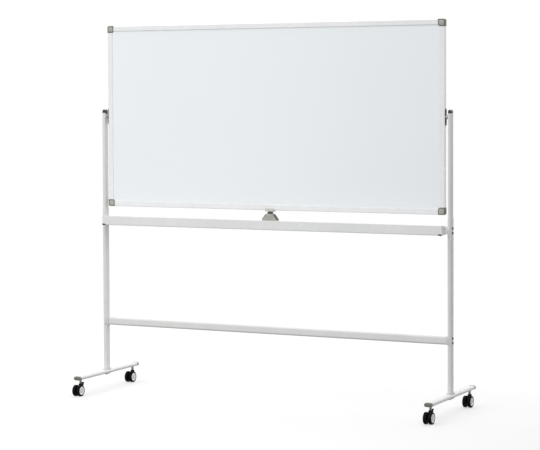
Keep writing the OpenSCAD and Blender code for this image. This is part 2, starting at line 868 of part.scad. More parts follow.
wheel(1, 1, -1);  // wheel_rear_right_inner
brake_lever(-1);  // brake_lever_left
brake_lever(1);  // brake_lever_right
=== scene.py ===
"""Rolling whiteboard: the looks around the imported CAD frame. Metres, in the row frame."""

import json
import math

import bmesh
import bpy
from mathutils import Matrix, Vector


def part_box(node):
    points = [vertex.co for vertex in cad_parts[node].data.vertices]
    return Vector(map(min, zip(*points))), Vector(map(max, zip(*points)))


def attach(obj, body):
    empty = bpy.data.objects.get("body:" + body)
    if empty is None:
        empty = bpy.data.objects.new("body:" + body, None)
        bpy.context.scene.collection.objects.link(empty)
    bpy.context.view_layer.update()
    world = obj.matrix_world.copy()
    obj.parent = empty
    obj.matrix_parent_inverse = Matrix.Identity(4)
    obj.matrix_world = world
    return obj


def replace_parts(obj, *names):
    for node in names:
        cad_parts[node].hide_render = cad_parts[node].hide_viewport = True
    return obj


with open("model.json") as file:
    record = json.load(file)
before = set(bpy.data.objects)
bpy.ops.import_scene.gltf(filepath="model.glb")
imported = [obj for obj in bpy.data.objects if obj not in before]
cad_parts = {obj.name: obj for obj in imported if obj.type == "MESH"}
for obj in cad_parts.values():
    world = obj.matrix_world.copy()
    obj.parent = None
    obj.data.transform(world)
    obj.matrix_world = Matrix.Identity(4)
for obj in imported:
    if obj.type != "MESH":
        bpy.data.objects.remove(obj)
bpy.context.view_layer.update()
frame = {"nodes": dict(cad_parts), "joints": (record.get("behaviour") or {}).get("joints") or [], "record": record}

MM = 0.001

# The photographed view: yaw turns the camera left of +Y, pitch looks down, roll tips it.
CAMERA_AT = Vector((4.015, -8.065, 1.493))
CAMERA_YAW = math.radians(26.4714)
CAMERA_PITCH = math.radians(2.3928)
CAMERA_ROLL = math.radians(-0.2392)
LENS = 125.1
SENSOR = 36.0
SHIFT_Y = -0.10185

# Light from the sky half of the world, by direction, and the floor's share from below.
HORIZON_LEVEL = 0.74
SKY_RISE = 1.15
GROUND_FALL = 0.55
LIGHT_FROM_RIGHT = 0.15
LEAST_LEVEL = 0.05

CORNERS = [("front", "left"), ("front", "right"), ("rear", "left"), ("rear", "right")]
SIDES = [("left", -1), ("right", 1)]

# A texture's middle range, which a ramp spreads out.
MIDDLE_LOW = 0.35
MIDDLE_HIGH = 0.65

# The Mix node's colour sockets, which share their names with its number and vector sockets.
MIX_COLOUR_A = 6
MIX_COLOUR_B = 7
MIX_COLOUR_RESULT = 2

# Edges that turn more sharply than this, in degrees, are drawn sharp.
SHARP_ANGLE = 35

# How far an added piece sinks into the CAD face it lies on.
SINK = 0.2 * MM

# Turns an outline drawn in (u, v) and its depth w into the row frame.
FACING_FRONT = Matrix(((1, 0, 0), (0, 0, -1), (0, 1, 0))).to_4x4()
FACING_BACK = Matrix.Rotation(math.pi, 4, "Z") @ FACING_FRONT
FACING_RIGHT = Matrix(((0, 0, 1), (1, 0, 0), (0, 1, 0))).to_4x4()
FACING_UP = Matrix.Identity(4)


# ---------- materials ----------

class Surface:
    """One procedural material: a Principled shader and short calls that feed it."""

    def __init__(self, name, colour, roughness, metallic=0.0):
        self.material = bpy.data.materials.new(name)
        self.material.use_nodes = True
        self.nodes = self.material.node_tree.nodes
        self.links = self.material.node_tree.links
        self.shader = self.nodes["Principled BSDF"]
        self.shader.inputs["Base Color"].default_value = (*colour, 1)
        self.shader.inputs["Roughness"].default_value = roughness
        self.shader.inputs["Metallic"].default_value = metallic
        self.colour = colour
        self.roughness = roughness
        self.place = self.nodes.new("ShaderNodeTexCoord").outputs["Object"]
        self.height = None
        self.material.diffuse_color = (*colour, 1)

    def set(self, socket, value):
        self.shader.inputs[socket].default_value = value

    def noise(self, scale, detail=4.0, stretch=(1, 1, 1)):
        """Noise in the piece's own coordinates, in metres; scale is in features to a metre."""
        mapping = self.nodes.new("ShaderNodeMapping")
        mapping.inputs["Scale"].default_value = stretch
        self.links.new(self.place, mapping.inputs["Vector"])
        noise = self.nodes.new("ShaderNodeTexNoise")
        noise.inputs["Scale"].default_value = scale
        noise.inputs["Detail"].default_value = detail
        self.links.new(mapping.outputs["Vector"], noise.inputs["Vector"])
        return noise.outputs["Fac"]

    def cells(self, scale):
        """Round cells, as in a spark-eroded mould or pressed fibres."""
        voronoi = self.nodes.new("ShaderNodeTexVoronoi")
        voronoi.inputs["Scale"].default_value = scale
        self.links.new(self.place, voronoi.inputs["Vector"])
        return voronoi.outputs["Distance"]

    def ramp(self, source, low, high, from_low=MIDDLE_LOW, from_high=MIDDLE_HIGH):
        """Spreads a texture's middle range over low to high."""
        node = self.nodes.new("ShaderNodeMapRange")
        node.inputs["From Min"].default_value = from_low
        node.inputs["From Max"].default_value = from_high
        node.inputs["To Min"].default_value = low
        node.inputs["To Max"].default_value = high
        self.links.new(source, node.inputs["Value"])
        return node.outputs["Result"]

    def tint(self, source, other, high=1.0, from_low=MIDDLE_LOW, from_high=MIDDLE_HIGH):
        """Mixes the colour so far towards another, by a texture and at most by high."""
        mix = self.nodes.new("ShaderNodeMix")
        mix.data_type = "RGBA"
        self.links.new(self.ramp(source, 0.0, high, from_low, from_high), mix.inputs["Factor"])
        base = self.shader.inputs["Base Color"]
        first = mix.inputs[MIX_COLOUR_A]
        second = mix.inputs[MIX_COLOUR_B]
        if base.is_linked:
            self.links.new(base.links[0].from_socket, first)
        else:
            first.default_value = (*self.colour, 1)
        second.default_value = (*other, 1)
        self.links.new(mix.outputs[MIX_COLOUR_RESULT], base)

    def vary_roughness(self, source, spread):
        low, high = self.roughness - spread, self.roughness + spread
        self.links.new(self.ramp(source, low, high), self.shader.inputs["Roughness"])

    def bump(self, source, distance):
        """Relief of a real depth in metres, on top of any relief before it."""
        node = self.nodes.new("ShaderNodeBump")
        node.inputs["Distance"].default_value = distance
        node.inputs["Strength"].default_value = 1.0
        self.links.new(source, node.inputs["Height"])
        if self.height is not None:
            self.links.new(self.height, node.inputs["Normal"])
        self.height = node.outputs["Normal"]
        self.links.new(self.height, self.shader.inputs["Normal"])


def shade(colour, factor):
    return tuple(min(1.0, channel * factor) for channel in colour)


def powder_coat(name, colour, roughness=0.38):
    """Satin powder coat: orange-peel relief, soft tone changes and a little handling grime."""
    surface = Surface(name, colour, roughness)
    surface.tint(surface.noise(5, 3), shade(colour, 0.95))
    surface.tint(surface.noise(38, 5, stretch=(1, 1, 0.25)), shade(colour, 0.90), high=0.35)
    surface.vary_roughness(surface.noise(55, 5), 0.06)
    surface.bump(surface.noise(620, 2), 0.00005)
    surface.bump(surface.noise(2400, 2), 0.00001)
    surface.set("Specular IOR Level", 0.5)
    return surface.material


def extruded_white(name, colour):
    """Lacquered aluminium: fine drawing lines along each bar under a smooth lacquer."""
    surface = Surface(name, colour, 0.27)
    surface.tint(surface.noise(4, 3), shade(colour, 0.965))
    surface.vary_roughness(surface.noise(90, 4, stretch=(0.2, 1, 0.2)), 0.05)
    surface.bump(surface.noise(900, 2), 0.000018)
    surface.set("Coat Weight", 0.25)
    surface.set("Coat Roughness", 0.12)
    return surface.material


def enamel(name, colour):
    """Enamelled writing steel: glossy, with faint wiping streaks in the gloss and a slight waviness."""
    surface = Surface(name, colour, 0.24)
    surface.tint(surface.noise(1.2, 2), shade(colour, 0.985))
    surface.vary_roughness(surface.noise(7, 5, stretch=(0.5, 1, 2.2)), 0.03)
    surface.bump(surface.noise(1500, 2), 0.000006)
    surface.set("Coat Weight", 0.35)
    surface.set("Coat Roughness", 0.06)
    return surface.material


def moulded(name, colour, roughness=0.5, grain=0.00004, worn=1.25, gloss=0.4):
    """Moulded plastic: spark-eroded grain, flow mottling and paler rubbed spots."""
    surface = Surface(name, colour, roughness)
    surface.tint(surface.noise(45, 5), shade(colour, 0.86))
    surface.tint(surface.noise(190, 6), shade(colour, worn), high=0.6, from_low=0.56, from_high=0.72)
    surface.vary_roughness(surface.noise(120, 4), 0.08)
    surface.bump(surface.cells(1600), grain)
    surface.set("Specular IOR Level", gloss)
    return surface.material


def gloss_moulded(name, colour, roughness=0.22):
    """Polished mould: smooth, with faint sink waviness and hairline scuffs."""
    surface = Surface(name, colour, roughness)
    surface.tint(surface.noise(60, 4), shade(colour, 0.93))
    surface.vary_roughness(surface.noise(260, 5, stretch=(1, 1, 0.15)), 0.06)
    surface.bump(surface.noise(150, 2), 0.00004)
    surface.set("Coat Weight", 0.3)
    surface.set("Coat Roughness", 0.1)
    return surface.material


def black_oxide(name, colour):
    """Blackened steel: metal that shows through at random, with machining marks."""
    surface = Surface(name, colour, 0.42, metallic=0.55)
    surface.tint(surface.noise(230, 6), shade(colour, 3.2), high=0.5, from_low=0.55, from_high=0.75)
    surface.vary_roughness(surface.noise(400, 4), 0.1)
    surface.bump(surface.noise(1100, 3), 0.00002)
    return surface.material


ZINC_BLOOM = (0.62, 0.60, 0.50)


def zinc_plate(name, colour):
    """Zinc-plated steel: bright metal with a soft yellowish bloom and turning lines."""
    surface = Surface(name, colour, 0.34, metallic=1.0)
    surface.tint(surface.noise(70, 5), shade(colour, 0.78))
    surface.tint(surface.noise(300, 6), ZINC_BLOOM, high=0.35, from_low=0.5, from_high=0.75)
    surface.vary_roughness(surface.noise(500, 4), 0.09)
    surface.bump(surface.noise(900, 3, stretch=(1, 1, 6)), 0.000015)
    return surface.material


def rubber(name, colour):
    """Moulded tread: matt, slightly dusty, with a pebbled skin."""
    surface = Surface(name, colour, 0.62)
    surface.tint(surface.noise(85, 6), shade(colour, 2.6), high=0.55, from_low=0.5, from_high=0.72)
    surface.vary_roughness(surface.noise(160, 4), 0.1)
    surface.bump(surface.cells(1100), 0.00005)
    surface.set("Specular IOR Level", 0.14)
    return surface.material


def fibreboard(name, colour):
    """Fibreboard: pale and dark fibres pressed at random."""
    surface = Surface(name, colour, 0.82)
    surface.tint(surface.noise(420, 8, stretch=(1, 1, 3)), shade(colour, 0.55))
    surface.tint(surface.cells(900), shade(colour, 1.5), high=0.7)
    surface.bump(surface.noise(700, 6), 0.0002)
    return surface.material


def slot_materials():
    """One material for each of the record's material slots."""
    return {
        "stand_paint": powder_coat("stand_paint", (0.73, 0.735, 0.725)),
        "tray_paint": powder_coat("tray_paint", (0.775, 0.78, 0.78), roughness=0.42),
        "end_white": moulded(
            "end_white", (0.90, 0.905, 0.89), roughness=0.42, grain=0.00003, worn=1.04),
        "saddle_grey": moulded(
            "saddle_grey", (0.66, 0.67, 0.655), roughness=0.45, grain=0.00003, worn=1.08),
        "black_plastic": moulded(
            "black_plastic", (0.004, 0.004, 0.0045), roughness=0.45, worn=1.6, gloss=0.2),
        "black_gloss": gloss_moulded("black_gloss", (0.012, 0.012, 0.013), roughness=0.2),
        "nylon_white": gloss_moulded("nylon_white", (0.72, 0.72, 0.69), roughness=0.4),
        "black_steel": black_oxide("black_steel", (0.022, 0.022, 0.024)),
        "foot_cap_grey": moulded("foot_cap_grey", (0.17, 0.175, 0.145)),
        "zinc_steel": zinc_plate("zinc_steel", (0.45, 0.45, 0.44)),
        "lock_grey": moulded("lock_grey", (0.42, 0.42, 0.385), roughness=0.48),
        "lock_dark": moulded("lock_dark", (0.085, 0.086, 0.075), roughness=0.45),
        "lock_light": gloss_moulded("lock_light", (0.58, 0.59, 0.575), roughness=0.3),
        "board_core": fibreboard("board_core", (0.45, 0.34, 0.21)),
        "writing_steel": enamel("writing_steel", (0.865, 0.90, 0.925)),
        "frame_white": extruded_white("frame_white", (0.855, 0.86, 0.87)),
        "corner_grey": moulded("corner_grey", (0.17, 0.172, 0.145)),
        "wheel_tread": rubber("wheel_tread", (0.0025, 0.0025, 0.003)),
        "hub_white": gloss_moulded("hub_white", (0.92, 0.925, 0.93)),
    }


# The floor is whole out to the first distance and has melted away at the second.
FLOOR_SOLID = 1.9
FLOOR_GONE = 4.5
FLOOR_COLOUR = (0.38, 0.38, 0.38)
FLOOR_PATCHES = (0.375, 0.375, 0.378)
FLOOR_GLOW = 0.48


def floor_material():
    """Pale matt floor with a glow of its own, which melts into the white backdrop with distance."""
    surface = Surface("studio_floor", FLOOR_COLOUR, 0.8)
    surface.tint(surface.noise(0.6, 2), FLOOR_PATCHES)
    surface.set("Emission Color", (1, 1, 1, 1))
    surface.set("Emission Strength", FLOOR_GLOW)
    surface.bump(surface.noise(240, 3), 0.00004)
    surface.set("Specular IOR Level", 0.1)
    nodes, links = surface.nodes, surface.links
    distance = nodes.new("ShaderNodeVectorMath")
    distance.operation = "LENGTH"
    links.new(surface.place, distance.inputs[0])
    fade = surface.ramp(distance.outputs["Value"], 0.0, 1.0, FLOOR_SOLID, FLOOR_GONE)
    clear = nodes.new("ShaderNodeBsdfTransparent")
    mix = nodes.new("ShaderNodeMixShader")
    links.new(fade, mix.inputs["Fac"])
    links.new(surface.shader.outputs[0], mix.inputs[1])
    links.new(clear.outputs[0], mix.inputs[2])
    links.new(mix.outputs[0], nodes["Material Output"].inputs["Surface"])
    return surface.material


# ---------- mesh helpers ----------

def finish_piece(name, mesh_data, body, slot):
    """Makes the mesh an object that rides on a body and wears its slot's material."""
    mesh_data.normal_update()
    mesh = bpy.data.meshes.new(name)
    mesh_data.to_mesh(mesh)
    mesh_data.free()
    for polygon in mesh.polygons:
        polygon.use_smooth = True
    mesh.set_sharp_from_angle(angle=math.radians(SHARP_ANGLE))
    piece = bpy.data.objects.new(name, mesh)
    bpy.context.scene.collection.objects.link(piece)
    mesh.materials.append(MATERIALS[slot])
    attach(piece, body)
    return piece


def add_bevel(piece, width, angle):
    """Rounds the edges that turn by more than an angle in degrees."""
    bevel = piece.modifiers.new("edge", "BEVEL")
    bevel.width = width
    bevel.segments = 2
    bevel.limit_method = "ANGLE"
    bevel.angle_limit = math.radians(angle)
    bevel.harden_normals = True


def arc(centre, radius, start, end, steps=8):
    """Points on an arc, in degrees from the first axis, both ends included."""
    turns = [math.radians(start + (end - start) * i / steps) for i in range(steps + 1)]
    return [(centre[0] + radius * math.cos(t), centre[1] + radius * math.sin(t)) for t in turns]


def stadium(across, along, inset=0.0, steps=12):
    """A flat oval with its long side on the second axis, drawn inwards by inset."""
    radius = across / 2 - inset
    middle = (along - across) / 2
    return arc((0, middle), radius, 0, 180, steps) + arc((0, -middle), radius, 180, 360, steps)


def round_box(width, height, radius, steps=6):
    """A rectangle round the origin with round corners."""
    x = width / 2 - radius
    y = height / 2 - radius
    outline = []
    for start, corner in ((0, (x, y)), (90, (-x, y)), (180, (-x, -y)), (270, (x, -y))):
        outline += arc(corner, radius, start, start + 90, steps)
    return outline


def add_stack(data, loops, turn, at):
    """Adds a closed solid through loops of (outline, depth), each with as many points."""
    rings = []
    for outline, depth in loops:
        rings.append([data.verts.new(turn @ Vector((u, v, depth)) + at) for u, v in outline])
    count = len(rings[0])
    for low, high in zip(rings, rings[1:]):
        for i in range(count):
            j = (i + 1) % count
            data.faces.new((low[i], low[j], high[j], high[i]))
    data.faces.new(list(reversed(rings[0])))
    data.faces.new(rings[-1])


def add_lathe(data, profile, turn, at, segments, closed):
    """Turns (radius, depth) points round the depth axis; an open profile ends on the axis."""
    rings = []
    for radius, depth in profile:
        count = segments if radius > 0 else 1
        angles = [2 * math.pi * i / count for i in range(count)]
        rings.append([
            data.verts.new(turn @ Vector((radius * math.cos(a), radius * math.sin(a), depth)) + at)
            for a in angles])
    pairs = list(zip(rings, rings[1:] + rings[:1])) if closed else list(zip(rings, rings[1:]))
    for low, high in pairs:
        for i in range(segments):
            j = (i + 1) % segments
            corners = [low[i % len(low)], low[j % len(low)], high[j % len(high)], high[i % len(high)]]
            data.faces.new(list(dict.fromkeys(corners)))


def mirrored_right(sign):
    """Faces right, or faces left as the mirror image when sign is negative."""
    return Matrix.Scale(sign, 4, Vector((1, 0, 0))) @ FACING_RIGHT


def middle(node):
    """Centre of a CAD node's box."""
    low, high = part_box(node)
    return (low + high) / 2


# ---------- casters ----------

WHEEL_SHOULDER = 3.6 * MM
GROOVE_DEPTH = 0.9 * MM
GROOVE_HALF = 0.6 * MM
HUB_SHARE = 0.725
DISH_DEPTH = 2.6 * MM
HUB_CORE_SHARE = 0.62
BORE = 3.05 * MM
GROOVE_PLACES = (0.36, 0.64)
GROOVE_FLARE = 1.6
DISH_PLAY = 0.4 * MM
LIP = 0.3 * MM
WHEEL_SEGMENTS = 96


def tyre_profile(radius, width):
    """Tread with two grooves and round shoulders, and a dish for the hub cap outside."""
    hub = radius * HUB_SHARE + DISH_PLAY
    inner_side = [(BORE, 0.0), (radius - WHEEL_SHOULDER, 0.0)]
    first = arc((radius - WHEEL_SHOULDER, WHEEL_SHOULDER), WHEEL_SHOULDER, -90, 0, 6)
    second = arc((radius - WHEEL_SHOULDER, width - WHEEL_SHOULDER), WHEEL_SHOULDER, 0, 90, 6)
    tread = []
    for share in GROOVE_PLACES:
        depth = width * share
        tread += [
            (radius, depth - GROOVE_FLARE * GROOVE_HALF), (radius - GROOVE_DEPTH, depth - GROOVE_HALF),
            (radius - GROOVE_DEPTH, depth + GROOVE_HALF), (radius, depth + GROOVE_FLARE * GROOVE_HALF)]
    lip = [(hub + 3 * LIP, width), (hub + LIP, width - LIP)]
    dish = [(hub, width - DISH_DEPTH), (BORE, width - DISH_DEPTH)]
    return inner_side + first[1:] + tread + second[:-1] + lip + dish


def hub_ring_profile(radius, width):
    """Round-topped white ring that lies in the wheel's dish."""
    outer, inner = radius * HUB_SHARE, radius * HUB_SHARE * HUB_CORE_SHARE
    low = width - DISH_DEPTH
    crown = width - 0.2 * MM
    mid = (outer + inner) / 2
    return [
        (inner, low), (outer, low), (outer, crown - 1.0 * MM), (outer - 0.5 * MM, crown - 0.3 * MM),
        (mid + 1.6 * MM, crown + 0.3 * MM), (mid, crown + 0.45 * MM), (mid - 1.6 * MM, crown + 0.2 * MM),
        (inner + 0.5 * MM, crown - 0.5 * MM), (inner, crown - 1.2 * MM)]


def hub_core_profile(radius, width):
    """Centre of the hub cap: a shallow cone up to a small round button."""
    outer = radius * HUB_SHARE * HUB_CORE_SHARE - 0.15 * MM
    low = width - DISH_DEPTH
    return [
        (0, low), (outer, low), (outer, low + 0.9 * MM), (outer - 0.5 * MM, low + 1.3 * MM),
        (6.6 * MM, width - 0.9 * MM), (6.0 * MM, width - 0.3 * MM), (5.4 * MM, width + 0.1 * MM),
        (3.0 * MM, width + 0.45 * MM), (0, width + 0.5 * MM)]


def build_wheel(end, side, place):
    """One wheel of a twin caster: tyre, white ring and hub centre, all on the wheel's body."""
    body = f"wheel_{end}_{side}_{place}"
    low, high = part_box(body)
    axle = middle(f"axle_{end}_{side}")
    centre = (low + high) / 2
    radius, width = (high.z - low.z) / 2, high.x - low.x
    out = 1 if centre.x > axle.x else -1
    turn = mirrored_right(out)
    at = Vector((low.x if out > 0 else high.x, centre.y, centre.z))
    parts = [
        ("tyre", tyre_profile, "wheel_tread", True),
        ("hub_ring", hub_ring_profile, "hub_white", True),
        ("hub_core", hub_core_profile, "saddle_grey", False)]
    for name, profile, slot, closed in parts:
        data = bmesh.new()
        add_lathe(data, profile(radius, width), turn, at, WHEEL_SEGMENTS, closed)
        bmesh.ops.recalc_face_normals(data, faces=data.faces)
        piece = finish_piece(f"{name}_{end}_{side}_{place}", data, body, slot)
        if name == "tyre":
            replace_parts(piece, body)


PEDAL_TILT = math.radians(66)
PEDAL_RIBS = [12.0 * MM, 15.5 * MM, 19.0 * MM]
PEDAL_WIDTH = 13.0 * MM
PEDAL_TOP = 1.6 * MM
PEDAL_MARGIN = 1.0 * MM
RIB_WIDTH = 1.5 * MM
RIB_EDGE = 0.4 * MM
RIB_SHOULDER = 0.6 * MM
RIB_TOP = 1.0 * MM
RIB_SINK = 0.3 * MM


def build_pedal_ribs(side, joint):
    """Three grip ribs across the top of a brake pedal."""
    data = bmesh.new()
    lever = Vector(joint["pos_m"])
    low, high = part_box(f"brake_lever_{side}")
    length = PEDAL_WIDTH - 2 * PEDAL_MARGIN
    middle_x = (low.x + high.x) / 2
    foot = round_box(length, RIB_WIDTH, 0.7 * MM)
    crest = round_box(length - 2 * RIB_EDGE, RIB_WIDTH - 2 * RIB_EDGE, 0.3 * MM)
    rib = [(foot, 0.0), (foot, RIB_SHOULDER), (crest, RIB_TOP)]
    out = Vector((0, math.cos(PEDAL_TILT), math.sin(PEDAL_TILT)))
    up = Vector((0, -math.sin(PEDAL_TILT), math.cos(PEDAL_TILT)))
    for reach in PEDAL_RIBS:
        at = Vector((middle_x, lever.y, lever.z)) + out * reach + up * (PEDAL_TOP - RIB_SINK)
        turn = Matrix((Vector((1, 0, 0)), out, up)).transposed().to_4x4()
        add_stack(data, rib, turn, at)
    finish_piece(f"pedal_ribs_{side}", data, f"brake_front_{side}", "black_plastic")


# ---------- caps ----------

POST_CAP_OVERHANG = 0.15 * MM
POST_CAP_WALL = 6.0 * MM
POST_CAP_CROWN = 7.2 * MM
POST_CAP_RIM_INSET = 0.5 * MM
POST_CAP_RIM_HIGH = 0.6 * MM
POST_CAP_STEPS = 9
SKIRT_WIDTH = 16.0 * MM
SKIRT_CORNER = 3.0 * MM
SKIRT_OVERLAP = 1.0 * MM
SKIRT_THICK = 0.8 * MM


def build_post_cap(side, sign):
    """Domed black cap with a chamfered rim and a skirt over the post's inner face."""
    post_low, post_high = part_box(f"post_upper_{side}")
    cap_low, cap_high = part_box("post_caps")
    across, along = post_high.x - post_low.x, post_high.y - post_low.y
    base, top = post_high.z, cap_high.z
    full = (across + 2 * POST_CAP_OVERHANG, along + 2 * POST_CAP_OVERHANG)
    dome = top - base - POST_CAP_WALL
    loops = [
        (stadium(*full, POST_CAP_RIM_INSET), 0.0), (stadium(*full), POST_CAP_RIM_HIGH),
        (stadium(*full), POST_CAP_WALL)]
    for step in range(1, POST_CAP_STEPS):
        angle = math.radians(90 * step / POST_CAP_STEPS)
        inset = POST_CAP_CROWN * (1 - math.cos(angle))
        loops.append((stadium(*full, inset), POST_CAP_WALL + dome * math.sin(angle)))
    data = bmesh.new()
    at = Vector(((post_low.x + post_high.x) / 2, 0, base))
    add_stack(data, loops, FACING_UP, at)
    inner_x = post_low.x if sign > 0 else post_high.x
    skirt = round_box(SKIRT_WIDTH, base - cap_low.z + SKIRT_OVERLAP, SKIRT_CORNER)
    skirt_at = Vector((inner_x, 0, (base + cap_low.z + SKIRT_OVERLAP) / 2))
    turn = mirrored_right(-sign)
    add_stack(data, [(skirt, -SINK), (skirt, SKIRT_THICK)], turn, skirt_at)
    bmesh.ops.recalc_face_normals(data, faces=data.faces)
    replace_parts(finish_piece(f"post_cap_{side}", data, "stand", "black_gloss"), "post_caps")


FOOT_TUBE_HIGH = 18.0 * MM
FOOT_CAP_LIP = 0.25 * MM
FOOT_CAP_STRAIGHT = 0.45
FOOT_CAP_CROWN = 5.5 * MM
FOOT_CAP_STEPS = 7


def build_foot_cap(end, side, way):
    """Olive-grey end cap: a collar round the tube's mouth, a groove and a crowned face."""
    low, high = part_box(f"foot_{side}")
    caps_low, caps_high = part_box("foot_caps")
    mouth = high.y if way > 0 else low.y
    face = caps_high.y if way > 0 else caps_low.y
    reach = abs(face - mouth)
    centre = Vector(((low.x + high.x) / 2, mouth, (caps_low.z + caps_high.z) / 2))
    full = (FOOT_TUBE_HIGH + 2 * FOOT_CAP_LIP, high.x - low.x + 2 * FOOT_CAP_LIP)
    loops = [
        (stadium(*full, 0.7 * MM), -9.0 * MM), (stadium(*full, 0.0), -8.4 * MM),
        (stadium(*full, 0.0), -0.8 * MM), (stadium(*full, 0.5 * MM), -0.5 * MM),
        (stadium(*full, 0.5 * MM), 0.3 * MM), (stadium(*full, 0.0), 0.7 * MM),
        (stadium(*full, 0.0), reach * FOOT_CAP_STRAIGHT)]
    for step in range(1, FOOT_CAP_STEPS):
        angle = math.radians(90 * step / FOOT_CAP_STEPS)
        inset = FOOT_CAP_CROWN * (1 - math.cos(angle))
        depth = reach * (FOOT_CAP_STRAIGHT + (1 - FOOT_CAP_STRAIGHT) * math.sin(angle))
        loops.append((stadium(*full, inset), depth))
    turn = Matrix(((0, 1, 0), (0, 0, way), (1, 0, 0))).to_4x4()
    data = bmesh.new()
    add_stack(data, loops, turn, centre)
    bmesh.ops.recalc_face_normals(data, faces=data.faces)
    piece = finish_piece(f"foot_cap_{end}_{side}", data, "stand", "foot_cap_grey")
    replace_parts(piece, "foot_caps")


CAP_EDGE = 5.0 * MM
CAP_PAD = 0.7 * MM
PAD_CORNER = 5.0 * MM
PAD_SLOPE = 0.8 * MM
PAD_SINK = 0.4 * MM


def build_corner_painted_light_pads(side, sign, level, up):
    """A raised pad on the front and back of each corner cap, inside a plain border; its paler grey is painted
    light, the brighter middle of the cap's face.
    """
    low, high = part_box(f"frame_{level}")
    side_low, side_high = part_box(f"frame_{side}")
    outer_x = side_high.x if sign > 0 else side_low.x
    outer_z = high.z if up > 0 else low.z
    width = abs(outer_x - (high.x if sign > 0 else low.x)) - 2 * CAP_EDGE
    cap_low, cap_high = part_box(f"corner_{level}_{side}")
    centre_x = outer_x - sign * (width / 2 + CAP_EDGE)
    centre_z = outer_z - up * (width / 2 + CAP_EDGE)
    data = bmesh.new()
    for way, face in ((-1, cap_low.y), (1, cap_high.y)):
        turn = FACING_FRONT if way < 0 else FACING_BACK
        outline = round_box(width, width, PAD_CORNER)
        inner = round_box(width - 2 * PAD_SLOPE, width - 2 * PAD_SLOPE, PAD_CORNER - PAD_SLOPE)
        loops = [(outline, -PAD_SINK), (outline, CAP_PAD - PAD_SINK), (inner, CAP_PAD)]
        add_stack(data, loops, turn, Vector((centre_x, face, centre_z)))
    bmesh.ops.recalc_face_normals(data, faces=data.faces)
    # The pads wear the lock's paler grey: painted light on the middle of each corner cap's face.
    finish_piece(f"corner_pad_{level}_{side}", data, "board", "lock_grey")


# ---------- lock and tray ----------

LOCK_TOP_HALF = 12.0 * MM
LOCK_LOW_HALF = 33.0 * MM
LOCK_PANEL_RISE = 8.0 * MM
LOCK_PANEL_DROP = 3.5 * MM
LOCK_KNEE_DROP = 33.0 * MM

# How far each of the panel's two steps draws in, and how far it stands out.
LOCK_PANEL_STEPS = ((0.0, 1.1 * MM), (4.0 * MM, 1.8 * MM))

# The shares of that drawing in which reach the panel's top corners and its knee.
LOCK_TOP_SHARE = 0.6
LOCK_KNEE_SHARE = 0.4
LOCK_PANEL_SINK = 0.3 * MM


def build_lock_panels():
    """Raised panel with a stepped edge on the front and back of the lock housing."""
    low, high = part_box("lock_housing")
    top, knee = high.z - LOCK_PANEL_DROP, high.z - LOCK_KNEE_DROP
    data = bmesh.new()
    for way, face in ((-1, low.y), (1, high.y)):
        turn = FACING_FRONT if way < 0 else FACING_BACK
        for shrink, depth in LOCK_PANEL_STEPS:
            top_half = LOCK_TOP_HALF - shrink * LOCK_TOP_SHARE
            low_half = LOCK_LOW_HALF - shrink
            shoulder = knee + shrink * LOCK_KNEE_SHARE
            outline = [
                (-top_half, top - shrink), (-low_half, shoulder), (-low_half, shoulder - LOCK_PANEL_RISE),
                (low_half, shoulder - LOCK_PANEL_RISE), (low_half, shoulder), (top_half, top - shrink)]
            add_stack(data, [(outline, -LOCK_PANEL_SINK), (outline, depth)], turn, Vector((0, face, 0)))
    bmesh.ops.recalc_face_normals(data, faces=data.faces)
    piece = finish_piece("lock_panels", data, "stand", "lock_grey")
    add_bevel(piece, 0.5 * MM, angle=25)


# The tray's black corners are painted shade at the ends of its lower front edge.
SHADE_CORNER_LONG = 17.0 * MM
SHADE_CORNER_HIGH = 6.0 * MM
SHADE_CORNER_DEEP = 14.0 * MM
SHADE_CORNER_SKIN = 1.0 * MM
SHADE_CORNER_LAP = 1.2 * MM
TRAY_PLATE = 2.5 * MM
EDGE_RADIUS = 4.0 * MM


def build_tray_painted_shade_corner(side, sign):
    """Painted shade: a black plastic corner at the tray's lower front edge, where shade falls; it wraps the front
    and the underside.
    """
    low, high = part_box("tray_beam")
    end_x = sign * (high.x + TRAY_PLATE)
    corner = (low.y + EDGE_RADIUS, low.z + EDGE_RADIUS)
    outside = arc(corner, EDGE_RADIUS + SHADE_CORNER_SKIN, 180, 270, 8)
    inside = arc(corner, EDGE_RADIUS - SINK, 270, 180, 8)
    outline = [(low.y - SHADE_CORNER_SKIN, low.z + SHADE_CORNER_HIGH)] + outside
    outline += [(low.y + SHADE_CORNER_DEEP, low.z - SHADE_CORNER_SKIN), (low.y + SHADE_CORNER_DEEP, low.z + SHADE_CORNER_LAP)]
    outline += inside + [(low.y + SINK, low.z + SHADE_CORNER_HIGH)]
    turn = mirrored_right(sign)
    data = bmesh.new()
    add_stack(data, [(outline, -SHADE_CORNER_LONG), (outline, -SINK)], turn, Vector((end_x, 0, 0)))
    bmesh.ops.recalc_face_normals(data, faces=data.faces)
    # Black plastic here paints the shade at the tray's lower front end.
    piece = finish_piece(f"tray_painted_shade_corner_{side}", data, "stand", "black_plastic")
    add_bevel(piece, 0.3 * MM, angle=40)


# ---------- screws ----------

SCREW_SEGMENTS = 32
HEAD_STEPS = 6
HEAD_RIM_SHARE = 0.35
HEAD_SWEEP = 0.8
CROSS_SIZE = 0.62
CROSS_DEPTH = 0.5
CROSS_ARM = 0.28

# Head radius, head height, shank radius and length of each kind of screw.
PLATE_SCREW = (3.4 * MM, 1.8 * MM, 1.75 * MM, 7.0 * MM)
LOCK_SCREW = (4.0 * MM, 2.2 * MM, 2.0 * MM, 9.0 * MM)


